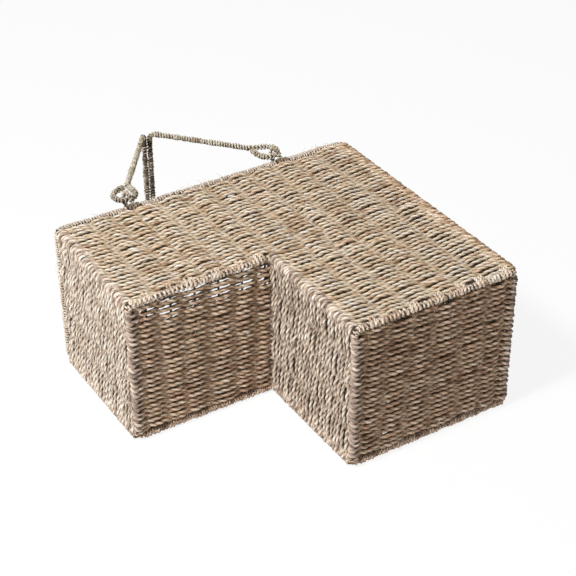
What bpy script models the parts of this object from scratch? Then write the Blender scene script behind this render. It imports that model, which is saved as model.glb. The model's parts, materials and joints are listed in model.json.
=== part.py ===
"""Stair basket: a woven box with an L-shaped profile and two hinged hoop handles, lying on its side wall.

+Z is up from the floor that the side wall lies on, +Y points out of the mouth, +X runs along the rim
from the rear end wall to the front wall. The origin is the middle of the whole object's footprint.
Lengths are in metres and angles in radians.
"""

import math

import bmesh
import bpy
from mathutils import Matrix, Vector

# The woven box, measured over its outer faces
LENGTH = 0.420
DEPTH = 0.372
STEP_RISE = 0.174
UPPER_FLOOR_RUN = 0.188
WIDTH = 0.200

# Cord, stakes and wires
CORD_DIAMETER = 0.0045
STAKE_DIAMETER = 0.0030
STAKE_SPACING = 0.033
WIRE_DIAMETER = 0.0040
WIRE_CORNER_RADIUS = 0.0065
WELD_OVERLAP = 0.0007
BINDING_DIAMETER = 0.0110
BINDING_END = 0.0015
CLEARANCE = 0.0003

# Rows of cord on the outside of each wall
ROW_PITCH = 0.0100
ROW_RELIEF = 0.0018
CREST_SHARE = 0.40

# The fixed rings on the rim and the lashings over their feet
RING_CENTRELINE_RADIUS = 0.0115
RING_CORD_DIAMETER = 0.0066
LASHING_DIAMETER = 0.0118
LASHING_NECK_DIAMETER = 0.0104
LASHING_LENGTH = 0.018

# The hoop handles
HINGE_SPREAD = 0.214
HINGE_SHIFT = 0.006
LEG_LENGTH = 0.179
LEG_TAPER = 0.009
HANDLE_DIAMETER = 0.0082
HANDLE_WIRE_DIAMETER = 0.0040
HOOP_CORNER_RADIUS = 0.010
EYE_CENTRELINE_RADIUS = 0.0140
EYE_NECK_LENGTH = 0.024
EYE_END_LENGTH = 0.0192
EYE_PLAY = 0.0005

# Fineness of the model: sides of round bars, steps in bends and turns
BAR_SIDES = 8
THIN_SIDES = 6
BEND_STEPS = 3
EYE_STEPS = 12
RING_STEPS = 12
TURNED_STEPS = 12
CUT_OVERRUN = 0.004

# Half a wall, and where one wall's seam meets the next
WALL = STAKE_DIAMETER + 2 * CORD_DIAMETER
MIDDLE = WALL / 2
SEAM = MIDDLE + CLEARANCE
RIM_SEAM = LASHING_DIAMETER / 2 + CLEARANCE

# Heights of the wires at the two sides and of the rings' middles
LOW_Z = MIDDLE
HIGH_Z = WIDTH - MIDDLE
RING_OUTER_RADIUS = RING_CENTRELINE_RADIUS + RING_CORD_DIAMETER / 2
RING_STANDOFF = WIRE_DIAMETER / 2 + CLEARANCE + RING_OUTER_RADIUS
RING_HIGH_Z = HIGH_Z
RING_LOW_Z = RING_OUTER_RADIUS + CLEARANCE

# How far a handle's eye sits out from its hinge axis, so that the ring's cord lies at its far end
EYE_OFFSET = EYE_CENTRELINE_RADIUS - (HANDLE_DIAMETER + RING_CORD_DIAMETER) / 2 - EYE_PLAY

# The handles lean in until their grips meet
LEAN_REACH = (HINGE_SPREAD - HANDLE_DIAMETER - CLEARANCE) / 2
LEAN = math.asin(LEAN_REACH / LEG_LENGTH)
HINGE_HEIGHT = RING_STANDOFF + RING_CENTRELINE_RADIUS - BINDING_DIAMETER / 2
HANDLE_REACH = HINGE_HEIGHT + LEG_LENGTH * math.cos(LEAN) + HANDLE_DIAMETER / 2

# Places of the wires along Y and X
RIM_TOP = (DEPTH - HANDLE_REACH) / 2
RIM_Y = RIM_TOP - BINDING_DIAMETER / 2
LOWER_Y = RIM_TOP - DEPTH + MIDDLE
UPPER_Y = LOWER_Y + STEP_RISE
HINGE_Y = RIM_TOP + HINGE_HEIGHT
REAR_X = -LENGTH / 2 + MIDDLE
FRONT_X = LENGTH / 2 - MIDDLE
RISER_X = -LENGTH / 2 + UPPER_FLOOR_RUN + MIDDLE
RING_X = {"rear": HINGE_SHIFT - HINGE_SPREAD / 2, "front": HINGE_SHIFT + HINGE_SPREAD / 2}

X = Vector((1, 0, 0))
Y = Vector((0, 1, 0))
Z = Vector((0, 0, 1))


def start_scene():
    """Empties the scene and makes the two collections."""
    for old in list(bpy.data.objects):
        bpy.data.objects.remove(old, do_unlink=True)
    made = []
    for name in ("stair_basket", "cutters"):
        collection = bpy.data.collections.new(name)
        bpy.context.scene.collection.children.link(collection)
        made.append(collection)
    return made


PARTS, CUTTERS = start_scene()


def material(name, colour, roughness, metallic=0.0):
    made = bpy.data.materials.new(name)
    made.use_nodes = True
    shader = made.node_tree.nodes["Principled BSDF"]
    shader.inputs["Base Color"].default_value = (*colour, 1.0)
    shader.inputs["Roughness"].default_value = roughness
    shader.inputs["Metallic"].default_value = metallic
    return made


WEAVE = material("seagrass_weave", (0.50, 0.39, 0.26), 0.80)
BINDING = material("seagrass_binding", (0.62, 0.47, 0.36), 0.75)
HANDLE_CORD = material("handle_wrap", (0.58, 0.47, 0.32), 0.75)
WIRE = material("frame_wire", (0.30, 0.29, 0.28), 0.45, 0.9)


def empty(name, place, turn=0.0):
    """A pivot that pieces are parented to, turned about Z."""
    made = bpy.data.objects.new(name, None)
    made.location = place
    made.rotation_euler = (0, 0, turn)
    PARTS.objects.link(made)
    return made


BASKET = empty("basket_origin", (0, 0, 0))


def add_part(name, mesh, finish, parent=None):
    """A named node from a mesh, with its material and its parent."""
    made = bpy.data.objects.new(name, mesh)
    mesh.materials.clear()
    mesh.materials.append(finish)
    made.parent = parent or BASKET
    PARTS.objects.link(made)
    return made


def add_cutter(name, mesh):
    made = bpy.data.objects.new(name, mesh)
    made.hide_render = True
    made.display_type = "WIRE"
    CUTTERS.objects.link(made)
    return made


def boolean(target, other, operation="DIFFERENCE"):
    """A live Boolean on the target."""
    made = target.modifiers.new(other.name, "BOOLEAN")
    made.operation = operation
    made.object = other


def mesh_from_curve(curve, name):
    """The evaluated mesh of a curve, welded where its caps meet its sides."""
    holder = bpy.data.objects.new(name, curve)
    bpy.context.scene.collection.objects.link(holder)
    graph = bpy.context.evaluated_depsgraph_get()
    mesh = bpy.data.meshes.new_from_object(holder.evaluated_get(graph))
    bpy.data.objects.remove(holder, do_unlink=True)
    bpy.data.curves.remove(curve)
    mesh.name = name
    shape = bmesh.new()
    shape.from_mesh(mesh)
    bmesh.ops.remove_doubles(shape, verts=shape.verts, dist=1e-6)
    bmesh.ops.recalc_face_normals(shape, faces=shape.faces)
    shape.to_mesh(mesh)
    shape.free()
    return mesh


def tube_mesh(name, points, diameter, sides=BAR_SIDES, closed=False, capped=True):
    """A round bar along points."""
    curve = bpy.data.curves.new(name, "CURVE")
    curve.dimensions = "3D"
    curve.bevel_depth = diameter / 2
    curve.bevel_resolution = sides // 2 - 2
    curve.use_fill_caps = capped
    spline = curve.splines.new("POLY")
    spline.points.add(len(points) - 1)
    for knot, place in zip(spline.points, points):
        knot.co = (*place, 1.0)
    spline.use_cyclic_u = closed
    return mesh_from_curve(curve, name)


def joined_mesh(name, pieces):
    """One mesh that holds several."""
    joined = bmesh.new()
    for piece in pieces:
        joined.from_mesh(piece)
        bpy.data.meshes.remove(piece)
    mesh = bpy.data.meshes.new(name)
    joined.to_mesh(mesh)
    joined.free()
    return mesh


def smooth(mesh):
    mesh.shade_smooth()
    mesh.set_sharp_from_angle(angle=math.radians(50))
    return mesh


def box_mesh(name, low, high):
    shape = bmesh.new()
    bmesh.ops.create_cube(shape, size=1.0)
    bmesh.ops.scale(shape, vec=high - low, verts=shape.verts)
    bmesh.ops.translate(shape, vec=(low + high) / 2, verts=shape.verts)
    mesh = bpy.data.meshes.new(name)
    shape.to_mesh(mesh)
    shape.free()
    return mesh


def sleeve(name, points, outer, bore, finish, parent=None):
    """A tube wound over a wire: an open surface with Solidify, whose inner wall is the bore."""
    made = add_part(name, smooth(tube_mesh(name, points, outer, capped=False)), finish, parent)
    shell = made.modifiers.new("wall", "SOLIDIFY")
    shell.thickness = (outer - bore) / 2 * math.cos(math.pi / BAR_SIDES)
    shell.offset = -1
    shell.use_even_offset = True
    return made


def rounded_path(corners, radius, closed=False):
    """The points of a bent wire: straight runs between corners, each corner an arc."""
    count = len(corners)
    path = []
    for i, corner in enumerate(corners):
        if not closed and i in (0, count - 1):
            path.append(corner)
            continue
        back = (corners[i - 1] - corner).normalized()
        ahead = (corners[(i + 1) % count] - corner).normalized()
        half = back.angle(ahead) / 2
        centre = corner + (back + ahead).normalized() * (radius / math.sin(half))
        first = corner + back * (radius / math.tan(half)) - centre
        last = corner + ahead * (radius / math.tan(half)) - centre
        sweep = first.angle(last)
        for step in range(BEND_STEPS + 1):
            share = step / BEND_STEPS
            spoke = first * math.sin((1 - share) * sweep) + last * math.sin(share * sweep)
            path.append(centre + spoke / math.sin(sweep))
    return path


def even_places(low, high):
    """Places for stakes: the middles of equal bays between low and high."""
    bays = max(1, round((high - low) / STAKE_SPACING))
    return [low + (i + 0.5) * (high - low) / bays for i in range(bays)]


def rod(start, end, diameter):
    """A straight wire that runs a little past the middles of the two wires it is welded to."""
    past = (end - start).normalized() * WELD_OVERLAP
    return (start - past, end + past, diameter)


def edge_rows():
    """The two edge wires of each end wall and of the riser."""
    rows = {}
    walls = (("rear", REAR_X, UPPER_Y, RIM_Y), ("riser", RISER_X, LOWER_Y, UPPER_Y), ("front", FRONT_X, LOWER_Y, RIM_Y))
    for name, x, low_y, high_y in walls:
        rows[name + "_edges"] = [
            rod(Vector((x, low_y, z)), Vector((x, high_y, z)), WIRE_DIAMETER) for z in (LOW_Z, HIGH_Z)
        ]
    return rows


def stake_rows():
    """The stakes of each wall and floor, one row for each."""
    rows = {}
    walls = (("rear", REAR_X, UPPER_Y, RIM_Y), ("riser", RISER_X, LOWER_Y, UPPER_Y), ("front", FRONT_X, LOWER_Y, RIM_Y))
    for name, x, low_y, high_y in walls:
        rows[name + "_wall"] = [
            rod(Vector((x, low_y, z)), Vector((x, high_y, z)), STAKE_DIAMETER)
            for z in even_places(WALL, WIDTH - WALL)
        ]
    bays = (
        ("upper", REAR_X + SEAM, RISER_X + MIDDLE, UPPER_Y),
        ("lower", RISER_X + SEAM, FRONT_X - SEAM, LOWER_Y),
    )
    for name, left, right, floor_y in bays:
        places = even_places(left, right)
        rows[name + "_floor"] = [
            rod(Vector((x, floor_y, LOW_Z)), Vector((x, floor_y, HIGH_Z)), STAKE_DIAMETER) for x in places
        ]
        for side, z in (("low", LOW_Z), ("high", HIGH_Z)):
            rows[f"{name}_side_{side}"] = [
                rod(Vector((x, floor_y, z)), Vector((x, RIM_Y, z)), STAKE_DIAMETER) for x in places
            ]
    return rows


EDGES = edge_rows()
STAKES = stake_rows()


def rods_mesh(name, rods):
    """Straight bars in one mesh."""
    return joined_mesh(name, [tube_mesh(name, [start, end], size, THIN_SIDES) for start, end, size in rods])


def holes_mesh(name, rods):
    """Holes for straight bars, whose flats lie the clearance away from them."""
    shrink = math.cos(math.pi / THIN_SIDES)
    return rods_mesh(name, [(start, end, (size + 2 * CLEARANCE) / shrink) for start, end, size in rods])


def reaching(rods, low, high):
    """The rods that come into the box from low to high."""
    found = []
    for start, end, diameter in rods:
        near = [min(start[axis], end[axis]) - diameter / 2 for axis in range(3)]
        far = [max(start[axis], end[axis]) + diameter / 2 for axis in range(3)]
        if all(near[axis] < high[axis] and far[axis] > low[axis] for axis in range(3)):
            found.append((start, end, diameter))
    return found


def drill(target, low, high, rows):
    """A round clearance hole for each rod that comes into the target's box."""
    for row, rods in rows.items():
        found = reaching(rods, low, high)
        if found:
            name = f"{target.name}_{row}"
            boolean(target, add_cutter(name, holes_mesh(name, found)))


def slot(target, low, high):
    """One straight slot for each row of stakes that comes into the target's box."""
    for row, rods in STAKES.items():
        found = reaching(rods, low, high)
        if found:
            name = f"{target.name}_{row}"
            along = (found[0][1] - found[0][0]).normalized()
            wide = STAKE_DIAMETER / 2 + CLEARANCE
            spread = Vector((wide, wide, wide)) - wide * Vector([abs(part) for part in along])
            ends = [place for start, end, _ in found for place in (start, end)]
            near = Vector([min(place[axis] for place in ends) for axis in range(3)]) - spread
            far = Vector([max(place[axis] for place in ends) for axis in range(3)]) + spread
            boolean(target, add_cutter(name, box_mesh(name, near, far)))


def loop_mesh(name, y, left, right):
    """A closed wire rectangle across the basket, with bent corners."""
    corners = [
        Vector((left, y, LOW_Z)),
        Vector((right, y, LOW_Z)),
        Vector((right, y, HIGH_Z)),
        Vector((left, y, HIGH_Z)),
    ]
    path = rounded_path(corners, WIRE_CORNER_RADIUS, closed=True)
    return tube_mesh(name, path, WIRE_DIAMETER, THIN_SIDES, closed=True)


def wire_frame():
    """The welded cage: a loop at the rim and round each floor, joined by edge wires and stakes."""
    loops = [
        loop_mesh("rim_loop", RIM_Y, REAR_X, FRONT_X),
        loop_mesh("upper_loop", UPPER_Y, REAR_X, RISER_X),
        loop_mesh("lower_loop", LOWER_Y, RISER_X, FRONT_X),
    ]
    frame = add_part("wire_frame", smooth(joined_mesh("wire_frame", loops)), WIRE)
    for row, rods in (EDGES | STAKES).items():
        name = "frame_" + row
        boolean(frame, add_cutter(name, rods_mesh(name, rods)), "UNION")


def row_outline(span):
    """Outline across the rows: a crest for each row outside, plain inside."""
    rows = max(1, round(span / ROW_PITCH))
    pitch = span / rows
    crest = CREST_SHARE * pitch
    valley = MIDDLE - ROW_RELIEF
    outline = []
    for i in range(rows):
        left = i * pitch - span / 2
        middle = left + pitch / 2
        outline += [(left, valley), (middle - crest / 2, MIDDLE), (middle + crest / 2, MIDDLE)]
    return outline + [(span / 2, valley), (span / 2, -MIDDLE), (-span / 2, -MIDDLE)]


def woven_panel(name, normal, along, low, high):
    """A woven wall between two corners, whose rows of cord run along one axis."""
    across = normal.cross(along)
    curve = bpy.data.curves.new(name, "CURVE")
    curve.dimensions = "2D"
    curve.fill_mode = "BOTH"
    curve.extrude = abs((high - low).dot(along)) / 2
    outline = row_outline(abs((high - low).dot(across)))
    spline = curve.splines.new("POLY")
    spline.points.add(len(outline) - 1)
    for knot, (over, up) in zip(spline.points, outline):
        knot.co = (over, up, 0, 1)
    spline.use_cyclic_u = True
    made = add_part(name, mesh_from_curve(curve, name), WEAVE)
    turn = Matrix((across, normal, along)).transposed()
    made.matrix_basis = Matrix.Translation((low + high) / 2) @ turn.to_4x4()
    return made


def round_edge(panel, corner, out_a, out_b):
    """Turns the weave round an edge wire: cuts the outer corner to an arc of flats."""
    to_local = panel.matrix_basis.inverted()
    centre = corner - MIDDLE * (out_a + out_b)
    shape = bmesh.new()
    shape.from_mesh(panel.data)
    for step in range(1, BEND_STEPS):
        angle = step / BEND_STEPS * math.pi / 2
        outward = out_a * math.cos(angle) + out_b * math.sin(angle)
        cut = bmesh.ops.bisect_plane(
            shape,
            geom=shape.verts[:] + shape.edges[:] + shape.faces[:],
            plane_co=to_local @ (centre + outward * MIDDLE),
            plane_no=to_local.to_3x3() @ outward,
            clear_outer=True,
        )
        rim = [part for part in cut["geom_cut"] if isinstance(part, bmesh.types.BMEdge)]
        bmesh.ops.holes_fill(shape, edges=rim)
    bmesh.ops.recalc_face_normals(shape, faces=shape.faces)
    shape.to_mesh(panel.data)
    shape.free()


def side_wall(name, outer_z, normal):
    """One L-shaped side wall: the full rectangle of rows, less the notch for the stair's step."""
    low_z, high_z = sorted((outer_z, outer_z - WALL * normal.z))
    low = Vector((REAR_X + SEAM, LOWER_Y + SEAM, low_z))
    high = Vector((FRONT_X - SEAM, RIM_Y - RIM_SEAM, high_z))
    panel = woven_panel(name, normal, X, low, high)
    overrun = Vector((CUT_OVERRUN, CUT_OVERRUN, CUT_OVERRUN))
    notch_top = Vector((RISER_X + SEAM, UPPER_Y + SEAM, high_z + CUT_OVERRUN))
    boolean(panel, add_cutter(name + "_notch", box_mesh(name + "_notch", low - overrun, notch_top)))
    drill(panel, low, high, STAKES)


def end_wall(name, wire_x, outward, low_y, high_y):
    """A wall whose rows run across the width and turn over the edge wires at both sides."""
    low = Vector((wire_x - MIDDLE, low_y, 0))
    high = Vector((wire_x + MIDDLE, high_y, WIDTH))
    panel = woven_panel(name, outward, Z, low, high)
    outer_x = wire_x + MIDDLE * outward.x
    round_edge(panel, Vector((outer_x, low_y, WIDTH)), outward, Z)
    round_edge(panel, Vector((outer_x, low_y, 0)), outward, -Z)
    drill(panel, low, high, EDGES)
    drill(panel, low, high, {row: STAKES[row] for row in ("rear_wall", "riser_wall", "front_wall")})


def binding(name, path):
    """Cord wound over a wire, with slots where the stakes and holes where the edge wires come in."""
    made = sleeve(name, path, BINDING_DIAMETER, WIRE_DIAMETER + 2 * CLEARANCE, BINDING)
    radius = Vector((BINDING_DIAMETER, BINDING_DIAMETER, BINDING_DIAMETER)) / 2
    low = Vector([min(place[axis] for place in path) for axis in range(3)]) - radius
    high = Vector([max(place[axis] for place in path) for axis in range(3)]) + radius
    drill(made, low, high, EDGES)
    slot(made, low, high)


def corner_boxes(name, low, high, inner_low, inner_high):
    """Boxes over a floor's four corners, where its bindings turn round the wire."""
    boxes = []
    for near_x, far_x in ((low.x - CUT_OVERRUN, inner_low.x), (inner_high.x, high.x + CUT_OVERRUN)):
        for near_z, far_z in ((low.z - CUT_OVERRUN, inner_low.z), (inner_high.z, high.z + CUT_OVERRUN)):
            near = Vector((near_x, low.y - CUT_OVERRUN, near_z))
            far = Vector((far_x, high.y + CUT_OVERRUN, far_z))
            boxes.append(box_mesh(name, near, far))
    return joined_mesh(name, boxes)


def floor(name, y, left, right):
    """A floor, whose rows loop round the wire at both ends, and the bindings over its long edges."""
    inset = BINDING_DIAMETER / 2 + CLEARANCE
    low = Vector((left - MIDDLE, y - MIDDLE, LOW_Z + inset))
    high = Vector((right + MIDDLE, y + MIDDLE, HIGH_Z - inset))
    panel = woven_panel(name, -Y, X, low, high)
    for end, outward in ((low.x, -X), (high.x, X)):
        for side, face in ((low.y, -Y), (high.y, Y)):
            round_edge(panel, Vector((end, side, 0)), outward, face)
    loop_sides = [(Vector((x, y, LOW_Z)), Vector((x, y, HIGH_Z)), WIRE_DIAMETER) for x in (left, right)]
    drill(panel, low, high, {"loop_sides": loop_sides})
    drill(panel, low, high, {row: rods for row, rods in STAKES.items() if "side" not in row})
    turned = WIRE_CORNER_RADIUS + BINDING_END
    inner_low = Vector((left + WIRE_CORNER_RADIUS, y, LOW_Z + turned + CLEARANCE))
    inner_high = Vector((right - WIRE_CORNER_RADIUS, y, HIGH_Z - turned - CLEARANCE))
    corners = corner_boxes(name + "_corners", low, high, inner_low, inner_high)
    boolean(panel, add_cutter(name + "_corners", corners))
    for label, level, inward in (("low", LOW_Z, 1), ("high", HIGH_Z, -1)):
        end = level + inward * turned
        corners = [Vector((x, y, z)) for x, z in ((left, end), (left, level), (right, level), (right, end))]
        binding(f"{name}_binding_{label}", rounded_path(corners, WIRE_CORNER_RADIUS))
    return panel


def riser_seat(panel):
    """A shallow step in the outside of the upper floor, which the top of the riser wall comes up into."""
    near = Vector((RISER_X - SEAM, UPPER_Y - MIDDLE - CUT_OVERRUN, LOW_Z))
    far = Vector((RISER_X + MIDDLE + CUT_OVERRUN, UPPER_Y - MIDDLE + CLEARANCE, HIGH_Z))
    boolean(panel, add_cutter("riser_seat", box_mesh("riser_seat", near, far)))


def rim():
    """The four stretches of binding on the rim's wire, between the rings."""
    reach = LASHING_LENGTH / 2 + CLEARANCE
    for name, wire_x, side in (("rear", REAR_X, -1), ("front", FRONT_X, 1)):
        start = RING_X[name] + side * reach
        bends = ((start, HIGH_Z), (wire_x, HIGH_Z), (wire_x, LOW_Z), (start, LOW_Z))
        corners = [Vector((x, RIM_Y, z)) for x, z in bends]
        binding("rim_binding_" + name, rounded_path(corners, WIRE_CORNER_RADIUS))
    for name, level in (("low", LOW_Z), ("high", HIGH_Z)):
        ends = (RING_X["rear"] + reach, RING_X["front"] - reach)
        binding("rim_binding_" + name, [Vector((end, RIM_Y, level)) for end in ends])


def ring_mesh(name, cord_diameter):
    """A wound wire ring about X."""
    bpy.ops.mesh.primitive_torus_add(
        major_radius=RING_CENTRELINE_RADIUS,
        minor_radius=cord_diameter / 2,
        major_segments=RING_STEPS,
        minor_segments=BAR_SIDES,
    )
    made = bpy.context.object
    mesh = made.data
    bpy.data.objects.remove(made, do_unlink=True)
    mesh.name = name
    mesh.transform(Matrix.Rotation(math.pi / 2, 4, "Y"))
    return smooth(mesh)


def lashing_profile(name):
    """Half section of the wound band: a bore for the rim's wire, necks at the ends and a belly."""
    bore = WIRE_DIAMETER / 2 + CLEARANCE
    half = LASHING_LENGTH / 2
    neck = LASHING_NECK_DIAMETER / 2
    belly = LASHING_DIAMETER / 2
    profile = [(bore, half), (neck, half), (belly, half / 2), (belly, -half / 2), (neck, -half), (bore, -half)]
    shape = bmesh.new()
    corners = [shape.verts.new((radius, 0, along)) for radius, along in profile]
    for i, corner in enumerate(corners):
        shape.edges.new((corners[i - 1], corner))
    mesh = bpy.data.meshes.new(name)
    shape.to_mesh(mesh)
    shape.free()
    return mesh


def rim_ring(name, x, wire_z, ring_z):
    """A wound wire ring that stands on the rim's wire, and the lashing with a groove for its foot."""
    centre = Vector((x, HINGE_Y - RING_CENTRELINE_RADIUS, ring_z))
    add_part("ring_" + name, ring_mesh("ring_" + name, RING_CORD_DIAMETER), BINDING).location = centre
    groove = add_cutter("groove_" + name, ring_mesh("groove_" + name, RING_CORD_DIAMETER + 2 * CLEARANCE))
    groove.location = centre
    band = add_part("lashing_" + name, lashing_profile("lashing_" + name), BINDING)
    band.location = (x, RIM_Y, wire_z)
    band.rotation_euler = (0, math.pi / 2, 0)
    turned = band.modifiers.new("turned", "SCREW")
    turned.angle = math.tau
    turned.steps = TURNED_STEPS
    turned.render_steps = TURNED_STEPS
    turned.use_merge_vertices = True
    turned.merge_threshold = 0.00001
    turned.use_normal_calculate = True
    boolean(band, groove)
    reach = Vector((LASHING_LENGTH, LASHING_DIAMETER, LASHING_DIAMETER)) / 2
    drill(band, band.location - reach, band.location + reach, STAKES)


def eye_path(level):
    """A handle's open eye with the ring's cord at its far end, from its loose end to the leg's neck."""
    middle = Vector((0, EYE_OFFSET, level))
    touch = math.acos(EYE_CENTRELINE_RADIUS / EYE_NECK_LENGTH)
    slope = (EYE_NECK_LENGTH - EYE_END_LENGTH) / math.tan(touch)
    path = [middle + Vector((-slope, EYE_END_LENGTH, 0))]
    for step in range(EYE_STEPS + 1):
        angle = math.tau - touch - (math.tau - 2 * touch) * step / EYE_STEPS
        spoke = Vector((math.sin(angle), math.cos(angle), 0))
        path.append(middle + EYE_CENTRELINE_RADIUS * spoke)
    path.append(middle + EYE_NECK_LENGTH * Y)
    return path


def hoop_path():
    """The whole hoop in the handle's own frame: the hinge axis is Z, the leg runs out along +Y."""
    high_eye = eye_path(RING_HIGH_Z)
    low_eye = eye_path(RING_LOW_Z)
    bends = [
        high_eye[-1],
        Vector((0, LEG_LENGTH, RING_HIGH_Z - LEG_TAPER)),
        Vector((0, LEG_LENGTH, RING_LOW_Z + LEG_TAPER)),
        low_eye[-1],
    ]
    return high_eye[:-1] + rounded_path(bends, HOOP_CORNER_RADIUS) + low_eye[-2::-1]


def handle(name, x, side):
    """A hoop handle: a bent wire with two eyes, and the cord wound over all of it."""
    pivot = empty(name + "_hinge", (x, HINGE_Y, 0), side * LEAN)
    path = hoop_path()
    wire = tube_mesh(name + "_wire", path, HANDLE_WIRE_DIAMETER, THIN_SIDES)
    add_part(name + "_wire", smooth(wire), WIRE, pivot)
    sleeve(name + "_wrap", path, HANDLE_DIAMETER, HANDLE_WIRE_DIAMETER + 2 * CLEARANCE, HANDLE_CORD, pivot)


def build():
    wire_frame()
    rim()
    riser_seat(floor("upper_floor", UPPER_Y, REAR_X, RISER_X))
    floor("lower_floor", LOWER_Y, RISER_X, FRONT_X)
    side_wall("side_wall_low", 0, -Z)
    side_wall("side_wall_high", WIDTH, Z)
    end_wall("rear_wall", REAR_X, -X, UPPER_Y + SEAM, RIM_Y - RIM_SEAM)
    end_wall("riser_wall", RISER_X, -X, LOWER_Y + SEAM, UPPER_Y - MIDDLE)
    end_wall("front_wall", FRONT_X, X, LOWER_Y + SEAM, RIM_Y - RIM_SEAM)
    for place, side in (("rear", -1), ("front", 1)):
        rim_ring(place + "_high", RING_X[place], HIGH_Z, RING_HIGH_Z)
        rim_ring(place + "_low", RING_X[place], LOW_Z, RING_LOW_Z)
        handle(place + "_handle", RING_X[place], side)


build()
bpy.context.view_layer.update()
print("rim top y", round(RIM_TOP, 5), "hinges at x", RING_X, "hinge y", round(HINGE_Y, 5))
print("handle lean, degrees", round(math.degrees(LEAN), 2), "reach", round(RIM_TOP + HANDLE_REACH, 5))
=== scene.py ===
"""Stair basket, dressed: woven two-ply seagrass cord, wound bindings, rings and handles round the frame.

Everything is in metres in the frame of the CAD model: +Z up, +Y out of the mouth, +X along the rim.
"""

import json
import math

import bpy
import numpy as np
from mathutils import Euler, Matrix, Vector


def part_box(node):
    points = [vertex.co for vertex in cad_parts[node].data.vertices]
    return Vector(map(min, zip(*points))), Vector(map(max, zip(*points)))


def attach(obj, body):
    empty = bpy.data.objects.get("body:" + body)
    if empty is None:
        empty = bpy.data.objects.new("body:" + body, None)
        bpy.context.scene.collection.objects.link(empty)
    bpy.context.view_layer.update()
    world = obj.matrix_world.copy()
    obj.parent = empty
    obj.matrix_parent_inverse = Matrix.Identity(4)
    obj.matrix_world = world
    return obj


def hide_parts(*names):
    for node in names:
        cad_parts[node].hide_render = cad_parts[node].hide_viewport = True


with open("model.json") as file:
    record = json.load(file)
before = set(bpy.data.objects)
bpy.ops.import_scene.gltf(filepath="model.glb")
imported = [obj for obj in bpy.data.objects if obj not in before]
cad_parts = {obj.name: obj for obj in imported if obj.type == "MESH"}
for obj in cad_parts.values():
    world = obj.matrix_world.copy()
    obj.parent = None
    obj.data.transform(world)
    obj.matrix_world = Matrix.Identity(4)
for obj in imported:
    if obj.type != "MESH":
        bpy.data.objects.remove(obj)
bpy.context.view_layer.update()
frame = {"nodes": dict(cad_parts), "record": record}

# Sizes that part.py also has
MIDDLE = 0.0060
STAKE_DIAMETER = 0.0030
WIRE_DIAMETER = 0.0040
STAKE_SPACING = 0.033
BINDING_DIAMETER = 0.0110
CLEARANCE = 0.0003
LEG_LENGTH = 0.179
LEG_TAPER = 0.009
HOOP_CORNER_RADIUS = 0.010
EYE_CENTRELINE_RADIUS = 0.0140
EYE_NECK_LENGTH = 0.024
EYE_END_LENGTH = 0.0192
EYE_PLAY = 0.0005
RING_CENTRELINE_RADIUS = 0.0115
RING_CORD_DIAMETER = 0.0066
HANDLE_DIAMETER = 0.0082
LASHING_LENGTH = 0.018

# The lie of the woven cord
CORD_DIAMETER = 0.0050
FLOOR_CORD_DIAMETER = 0.0054
ROW_PITCH = 0.0037
CORD_STEP = 0.0023
TWIST_PITCH = 0.0190
CORD_SIDES = 12
FINE_CORD_SIDES = 8
FIBRE_SIDES = 4
CORD_WAIST_SHARE = 0.60
FLOOR_WAIST_SHARE = 0.62
LOOSE_ROWS = {"upper_floor": 5, "lower_floor": 0}
LOOSE_PITCH_SHARE = 1.16
ROW_WANDER = 0.0008
FLOOR_WANDER_SHARE = 0.6
STAKE_SWAY = 0.0044
SLIDE_SHARE = 0.4
CORNER_REACH_SHARES = {1: (0.50, 0.64), -1: (0.36, 0.50)}
WAVE_WANDER_SHARE = 0.32
SWELL_SHARE = 0.11
SWELL_LIMITS = (-3, 0.5)
SWELL_SPACING = 0.020
END_TAPER_SHARE = 0.45
TWIST_UNREST = 0.5
TWIST_WANDER_SHARE = 0.12

# Where a floor's cord turns back: its reach past the wire, and how far it climbs and loops out
END_REACH_SHARE = 0.6
RISE_SHARES = (0.5, 0.9)
LOOP_SHARES = (0.55, 0.85)
LOOP_SLOPE = 0.7
# How far out a loop counts for the painted shade of its hidden side
LOOP_DEPTH = 0.6

# The finer cord of the bindings, rings and handles
BINDING_VISIBLE_DIAMETER = 0.0094
RIM_CORD_DIAMETER = 0.0036
RIM_TURN_PITCH = 0.0037
EDGE_CORD_DIAMETER = 0.0048
EDGE_TURN_PITCH = 0.0052
LOW_EDGE_PITCH_SHARE = 0.95
EDGE_CORDS = {
    "low": (RIM_CORD_DIAMETER, LOW_EDGE_PITCH_SHARE * RIM_CORD_DIAMETER),
    "high": (EDGE_CORD_DIAMETER, EDGE_TURN_PITCH),
}
BEND_RADIUS = 0.0065
BEND_STEPS = 6
EDGE_RETURN = 0.008
COIL_DIAMETER = 0.0118
COIL_LENGTH = 0.020
COIL_END_SHARES = (0.1, 1.0)
STITCH_REACH = 0.0070
STITCH_GROUP_PITCH = 0.030
STITCH_CORD_SHARE = 0.85
STITCH_PLACE_WANDER_SHARES = (-0.2, 0.2)
STITCHES_IN_GROUP = (2, 5)
STITCH_SPACING_SHARES = (0.85, 1.1)
STITCH_SLANTS = (0.001, 0.004)
STITCH_REACH_SHARES = (0.7, 1.15)
STITCH_HEIGHT_SHARE = 0.4
STITCH_SINK_SHARE = 0.1
WRAP_CORD_DIAMETER = 0.0034
WRAP_TURN_PITCH = 0.0040
WRAP_CORD = (WRAP_CORD_DIAMETER, WRAP_TURN_PITCH)
LASHING_DIAMETER = 0.0114
PACKING_DIAMETER = 0.0074
PACKING_TWIST_PITCH = 0.012
PACKING_WAIST_SHARE = 0.9

# How a cord lies where it is wound over a wire
WOUND_DEPTH_SHARE = 0.42
WOUND_STEP_SHARE = 0.55
WOUND_TWIST_SHARE = 2.4
WOUND_WAIST_SHARE = 0.60
CORE_SHARE = 1.5
RADIUS_WANDER_SHARE = 0.10
PITCH_WANDER_SHARE = 0.14
PITCH_WANDER_TURNS = 1.5
PLAIN_TWIST_PITCH = 1.0
ROUTE_FINENESS = 8
UPRIGHT_TILT = 0.013
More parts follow.
